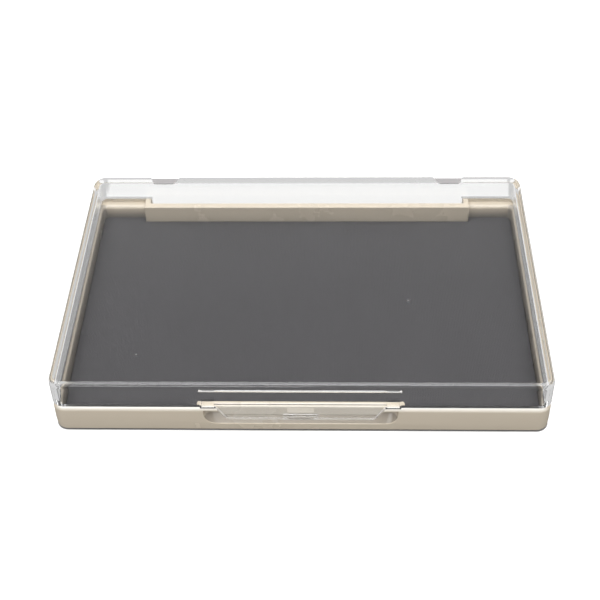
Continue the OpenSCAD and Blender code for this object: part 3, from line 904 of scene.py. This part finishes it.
class INKPAD_OT_lid(bpy.types.Operator):
    """Model the clear lid with its latch panel, tab, rear skirt, hinge lugs and notches"""

    bl_idname = "inkpad.lid"
    bl_label = "Lid"

    def execute(self, context):
        case, lid, tray = context.scene.inkpad_case, context.scene.inkpad_lid, context.scene.inkpad_tray
        low = tray.rim + case.parting
        inner_top = case.height - lid.top
        piece = loft("lid_shell", plan, self.wall_rings(case, lid, low))
        cut(piece, prism("hollow", plan, low - OVER, inner_top, case_outline(case, lid.wall)))
        self.add_latch(piece, case, lid, tray, low)
        soften(piece, lambda p, convex: self.edge_radius(p, convex, case, lid, low, inner_top), segments=8)
        self.open_panel(piece, case, lid, low)
        self.add_bead(piece, case, lid)
        self.add_hinge(piece, case, lid, low)
        for side in (-1, 1):
            self.cut_notch(piece, side, case, lid)
        dress(piece, "lid", "clear_lid", clear_plastic(lid))
        return {"FINISHED"}

    def wall_rings(self, case, lid, low):
        """The outer wall up to the top edge, which is rounder at the front than at the rear."""
        rings = [(low, case_outline(case, 0))]
        radii = (lid.top_front, lid.top_side, lid.top_rear)
        for _, rise in arc((0, 0), lid.top_front, 0, 90, TOP_STEPS):
            z = case.height - lid.top_front + rise
            front, side, rear = (edge_inset(case.height - z, r) for r in radii)
            half, y = case.width / 2 - side, case.depth / 2
            near_r, far_r = case.corner - (front + side) / 2, case.corner - (rear + side) / 2
            rings.append((z, outline([(-half, front - y, near_r), (half, front - y, near_r),
                                      (half, y - rear, far_r), (-half, y - rear, far_r)])))
        return rings

    def add_latch(self, piece, case, lid, tray, low):
        """Add the panel with its round shoulder, and the tab below it."""
        face = LID_LOW.y
        back = face + lid.tab_thick
        inside = -case.depth / 2 + lid.wall / 2
        shoulder = case.height - lid.panel_drop
        proud = -case.depth / 2 - face
        panel = outline([(face, low, 0), (inside, low, 0), (inside, shoulder, 0), (face, shoulder, proud)])
        join(piece, prism("panel", side_view, -lid.panel_width / 2, lid.panel_width / 2, panel))
        top = low + LAP
        half, foot = tab_half(case, tray, top), case.tab_low / 2
        tab = outline([(-half, top, 0), (-foot, case.tab_height, lid.tab_corner),
                       (foot, case.tab_height, lid.tab_corner), (half, top, 0)])
        join(piece, prism("tab", front_view, face, back, tab))

    def open_panel(self, piece, case, lid, low):
        """Cut the slope behind the root of the tab, and a pocket at each side of it."""
        root, end = case.tab_top / 2 + case.tab_gap, (lid.panel_width - lid.pocket_skin) / 2
        inner, back = lid.wall - case.depth / 2 + LAP, LID_LOW.y + lid.tab_thick
        slope = [(back, low), (back, low - LAP), (inner, low - LAP), (inner, low + inner - back)]
        cut(piece, prism("slope", side_view, -root, root, slope))
        skin = LID_LOW.y + lid.pocket_skin
        for side in (-1, 1):
            near_x, far_x = side * root, side * end
            pocket = [(near_x, skin), (far_x, skin), (far_x, inner), (near_x, inner)]
            cut(piece, prism("pocket", plan, low - LAP, low + lid.pocket_height, pocket))

    def add_bead(self, piece, case, lid):
        """Add the bead behind the tab that snaps under the catch nub."""
        back = LID_LOW.y + lid.tab_thick
        face, r = back + lid.bead_out, lid.edge_round
        low, high = case.tab_height + lid.bead_rise, case.nub_height - lid.catch_gap
        bead = outline([(back - LAP, low, 0), (face, low, r), (face, high, r), (back - LAP, high, 0)])
        join(piece, prism("bead", side_view, -lid.bead_width / 2, lid.bead_width / 2, bead))

    def add_hinge(self, piece, case, lid, low):
        """Add the skirt below the rear wall, and a lug that runs round a pin at each end of it."""
        reach = PIN_LOW.x + lid.lug
        y0, y1, r = case.depth / 2 - lid.wall, case.depth / 2, lid.skirt_round
        high = low + LAP
        skirt = outline([(y0, high, 0), (y0, lid.skirt, r), (y1, lid.skirt, r), (y1, high, 0)])
        join(piece, prism("skirt", side_view, -reach, reach, skirt))
        for side in (-1, 1):
            ends = sorted((side * PIN_LOW.x, side * reach))
            join(piece, rod("lug", *ends, lid.barrel - STEP))
            bore = (PIN_HIGH.z - PIN_LOW.z) / 2 + case.pin_clearance
            cut(piece, rod("lug_bore", ends[0] - LAP, ends[1] + LAP, bore))

    def cut_notch(self, piece, side, case, lid):
        """Cut the shallow notch in the rear top edge above a lug."""
        x, half, r = PIN_LOW.x + lid.lug / 2 + lid.notch_shift, lid.notch_front / 2, lid.notch_corner
        y0, y1 = case.depth / 2 - lid.notch_depth, case.depth / 2 + LAP
        notch = outline([(side * (x - half), y0, r), (side * (x + half), y0, r),
                         (side * (PIN_LOW.x + lid.lug), y1, 0), (side * PIN_LOW.x, y1, 0)])
        cut(piece, prism("notch", plan, case.height - lid.notch_drop, case.height + LAP, notch))

    def edge_radius(self, p, convex, case, lid, low, inner_top):
        """The radius of the edge whose middle is p."""
        inset = inset_of(p, case)
        if not convex:
            return lid.inner_round if near(p.z, inner_top) and inset < lid.wall + STEP else 0.0
        panel_end = near(abs(p.x), lid.panel_width / 2) and inset < 0
        return 0.0 if panel_end or near(p.z, low) else lid.edge_round


class INKPAD_OT_pad(bpy.types.Operator):
    """Model the woven pad cloth, the ink felt under it and the finish of the hidden layers"""

    bl_idname = "inkpad.pad"
    bl_label = "Pad"

    def execute(self, context):
        case, tray, pad = context.scene.inkpad_case, context.scene.inkpad_tray, context.scene.inkpad_pad
        shape = pad_plan(case, tray, pad.gap)
        felt = prism("pad_felt", plan, FELT_LOW.z, FELT_HIGH.z, shape)
        soften(felt, lambda p, convex: pad.felt_round if p.z > FELT_LOW.z + pad.felt_round else STEP)
        dress(felt, "tray", "ink_felt", soaked_felt(pad))
        cloth = prism("pad_cover", plan, CLOTH_LOW.z, CLOTH_HIGH.z, shape)
        soften(cloth, lambda p, convex: pad.cloth_round if p.z > CLOTH_LOW.z + pad.cloth_round else STEP)
        self.press_uneven(cloth, pad)
        dress(cloth, "tray", "pad_cloth", ink_cloth(pad))
        area_of(shape)
        layers = (("adhesive_film", pad.film, pad.film_dark, 0.5),
                  ("backing_board", pad.board, pad.board_dark, 0.9))
        for node, light, dark, rough in layers:
            solid = frame["nodes"][node]
            solid.data.materials.clear()
            solid.data.materials.append(fibre_sheet(node, light, dark, rough))
        return {"FINISHED"}

    def press_uneven(self, cloth, pad):
        """Cut the cloth's top into cells and give it a soft unevenness."""
        bm = bmesh.new()
        bm.from_mesh(cloth.data)
        for axis in (0, 1):
            spots = [v.co[axis] for v in bm.verts]
            count = int((max(spots) - min(spots)) / pad.cell)
            for i in range(1, count):
                place, normal = Vector(), Vector()
                place[axis] = min(spots) + (max(spots) - min(spots)) * i / count
                normal[axis] = 1.0
                parts = bm.verts[:] + bm.edges[:] + bm.faces[:]
                bmesh.ops.bisect_plane(bm, geom=parts, plane_co=place, plane_no=normal)
        for vert in bm.verts:
            if near(vert.co.z, CLOTH_HIGH.z, STEP / 5):
                vert.co.z += pad.swell * (noise.noise(vert.co / pad.swell_size) - 1.0) / 2
        bm.to_mesh(cloth.data)
        bm.free()


class INKPAD_OT_pins(bpy.types.Operator):
    """Model the two steel hinge pins with chamfered ends"""

    bl_idname = "inkpad.pins"
    bl_label = "Hinge pins"

    def execute(self, context):
        pins = context.scene.inkpad_pins
        steel = drawn_steel(pins)
        for node in ("hinge_pin_left", "hinge_pin_right"):
            low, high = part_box(node)
            piece = rod(node.replace("hinge_", "") + "_rod", low.x, high.x, (high.z - low.z) / 2)
            soften(piece, lambda p, convex: pins.chamfer, segments=2)
            dress(piece, "tray", node, steel)
        return {"FINISHED"}


class INKPAD_OT_stage(bpy.types.Operator):
    """Set up the camera, the lamps, the surrounding light and the floor"""

    bl_idname = "inkpad.stage"
    bl_label = "Stage"

    def execute(self, context):
        stage = context.scene.inkpad_stage
        context.scene.view_settings.view_transform = "Standard"
        self.make_camera(context, stage)
        self.make_lamp(context, "top_lamp", *TOP_LAMP, stage.top_power)
        self.make_lamp(context, "front_lamp", *FRONT_LAMP, stage.front_power)
        self.make_world(context, stage)
        self.make_floor(stage, context.scene.inkpad_case.corner)
        return {"FINISHED"}

    def make_camera(self, context, stage):
        """A camera at the photograph's viewing angle."""
        data = bpy.data.cameras.new("camera")
        data.sensor_width = 36.0
        data.lens = stage.lens
        data.clip_start = 0.01
        camera = bpy.data.objects.new("camera", data)
        turn = (Matrix.Rotation(stage.heading, 4, "Z")
                @ Matrix.Rotation(math.radians(90) - stage.dip, 4, "X")
                @ Matrix.Rotation(stage.roll, 4, "Z"))
        camera.matrix_world = Matrix.Translation(stage.place) @ turn
        context.scene.collection.objects.link(camera)
        context.scene.camera = camera

    def make_lamp(self, context, name, place, size, power):
        """A soft rectangular lamp that faces the case."""
        data = bpy.data.lights.new(name, "AREA")
        data.shape = "RECTANGLE"
        data.size, data.size_y = size
        data.energy = power
        lamp = bpy.data.objects.new(name, data)
        lamp.location = place
        lamp.rotation_euler = (-Vector(place)).to_track_quat("-Z", "Y").to_euler()
        context.scene.collection.objects.link(lamp)

    def make_world(self, context, stage):
        """White where it is seen, dimmer in gloss and through clear edges, and a plain level elsewhere."""
        world = bpy.data.worlds.new("surround")
        world.use_nodes = True
        tree = world.node_tree
        path = add(tree, "ShaderNodeLightPath")
        toward = add(tree, "ShaderNodeTexCoord").outputs["Generated"]
        rise = add(tree, "ShaderNodeSeparateXYZ", [("Vector", toward)]).outputs["Z"]
        sky = ramp(tree, rise, stage.sky_low, stage.sky_high, 1.0, stage.upper)
        glossy, clear = path.outputs["Is Glossy Ray"], path.outputs["Is Transmission Ray"]
        plain = add(tree, "ShaderNodeMix", [("Factor", glossy), ("A", stage.ambient), ("B", stage.gloss)])
        level = add(tree, "ShaderNodeMix", [("Factor", clear), ("A", plain.outputs["Result"]), ("B", sky)])
        strength = maths(tree, "MAXIMUM", level.outputs["Result"], path.outputs["Is Camera Ray"])
        back = tree.nodes["Background"]
        back.inputs["Color"].default_value = WHITE
        tree.links.new(strength, back.inputs["Strength"])
        context.scene.world = world

    def make_floor(self, stage, corner):
        """A pale floor that keeps the shadow, painted in shadow under the case, and seen as white in plain
        view and through the lid.
        """
        half = stage.floor_half
        floor = prism("floor", plan, -2 * OVER, -STEP / 5, outline(rectangle(half, -half, half)))
        material, tree, shader = new_material("floor")
        shader.inputs["Roughness"].default_value = 0.9
        shader.inputs["Specular IOR Level"].default_value = 0.0
        shader.inputs["Emission Color"].default_value = WHITE
        path = add(tree, "ShaderNodeLightPath")
        camera = path.outputs["Is Camera Ray"]
        direct = maths(tree, "MAXIMUM", camera, path.outputs["Is Diffuse Ray"])
        lit = blend_colour(tree, direct, [stage.dim] * 3, [stage.floor] * 3)
        x, y, _ = axes_on(tree)
        side, lengthways = maths(tree, "ABSOLUTE", x), maths(tree, "ABSOLUTE", y)
        # The floor under the case's plan is painted in shadow: seen in plain view it keeps the darker tone
        # and gets no glow
        past = 0.0
        for value, end in ((side, TRAY_HIGH.x), (lengthways, TRAY_HIGH.y)):
            beyond = maths(tree, "MAXIMUM", maths(tree, "SUBTRACT", value, end - corner), 0.0)
            past = maths(tree, "MULTIPLY_ADD", beyond, beyond, past)
        outside = maths(tree, "GREATER_THAN", past, corner ** 2)
        clear = product(tree, camera, outside)
        tree.links.new(blend_colour(tree, clear, lit, [stage.pale] * 3), shader.inputs["Base Color"])
        ends = CAD_HIGH.y + stage.apron
        along = ramp(tree, lengthways, ends, ends + stage.apron, 1.0, 0.0)
        aside = product(tree, ramp(tree, side, CAD_HIGH.x - OVER, CAD_HIGH.x + OVER), along)
        white = ramp(tree, aside, 0.0, 1.0, stage.behind, stage.behind * stage.beside)
        faded = ramp(tree, along, 0.0, 1.0, stage.distant, 1.0)
        back = maths(tree, "GREATER_THAN", y, CAD_LOW.y)
        straight = maths(tree, "LESS_THAN", path.outputs["Glossy Depth"], STRAIGHT)
        open_to = maths(tree, "MAXIMUM", back, straight)
        seen = product(tree, path.outputs["Is Transmission Ray"], open_to, white, faded)
        away = add(tree, "ShaderNodeVectorMath", [(0, place_on(tree))], operation="LENGTH").outputs["Value"]
        glow = ramp(tree, away, stage.near, stage.far, stage.glow, 1.0)
        tree.links.new(maths(tree, "MULTIPLY_ADD", clear, glow, seen), shader.inputs["Emission Strength"])
        floor.data.materials.append(material)


class INKPAD_PT_panel(bpy.types.Panel):
    """The ink pad's pieces in the sidebar"""

    bl_idname = "INKPAD_PT_panel"
    bl_label = "Ink Pad"
    bl_space_type = "VIEW_3D"
    bl_region_type = "UI"
    bl_category = "Ink Pad"

    def draw(self, context):
        for operator in OPERATORS:
            self.layout.operator(operator.bl_idname)
        for name in PROPERTIES:
            box = self.layout.box()
            group = getattr(context.scene, name)
            for key in group.__annotations__:
                box.prop(group, key)


PROPERTIES = {
    "inkpad_case": InkPadCase,
    "inkpad_tray": InkPadTray,
    "inkpad_lid": InkPadLid,
    "inkpad_pad": InkPadPad,
    "inkpad_pins": InkPadPins,
    "inkpad_stage": InkPadStage,
}
OPERATORS = (INKPAD_OT_tray, INKPAD_OT_lid, INKPAD_OT_pad, INKPAD_OT_pins, INKPAD_OT_stage)
CLASSES = (*PROPERTIES.values(), *OPERATORS, INKPAD_PT_panel)


def register():
    """Register the classes and hang the property groups on the scene."""
    for item in CLASSES:
        bpy.utils.register_class(item)
    for name, group in PROPERTIES.items():
        setattr(bpy.types.Scene, name, bpy.props.PointerProperty(type=group))


def unregister():
    """Take the property groups and the classes away again."""
    for name in PROPERTIES:
        delattr(bpy.types.Scene, name)
    for item in reversed(CLASSES):
        bpy.utils.unregister_class(item)


def main():
    """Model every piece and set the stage."""
    register()
    bpy.ops.inkpad.stage()
    bpy.ops.inkpad.tray()
    bpy.ops.inkpad.lid()
    bpy.ops.inkpad.pad()
    bpy.ops.inkpad.pins()
    bpy.context.view_layer.update()


if __name__ == "__main__":
    main()
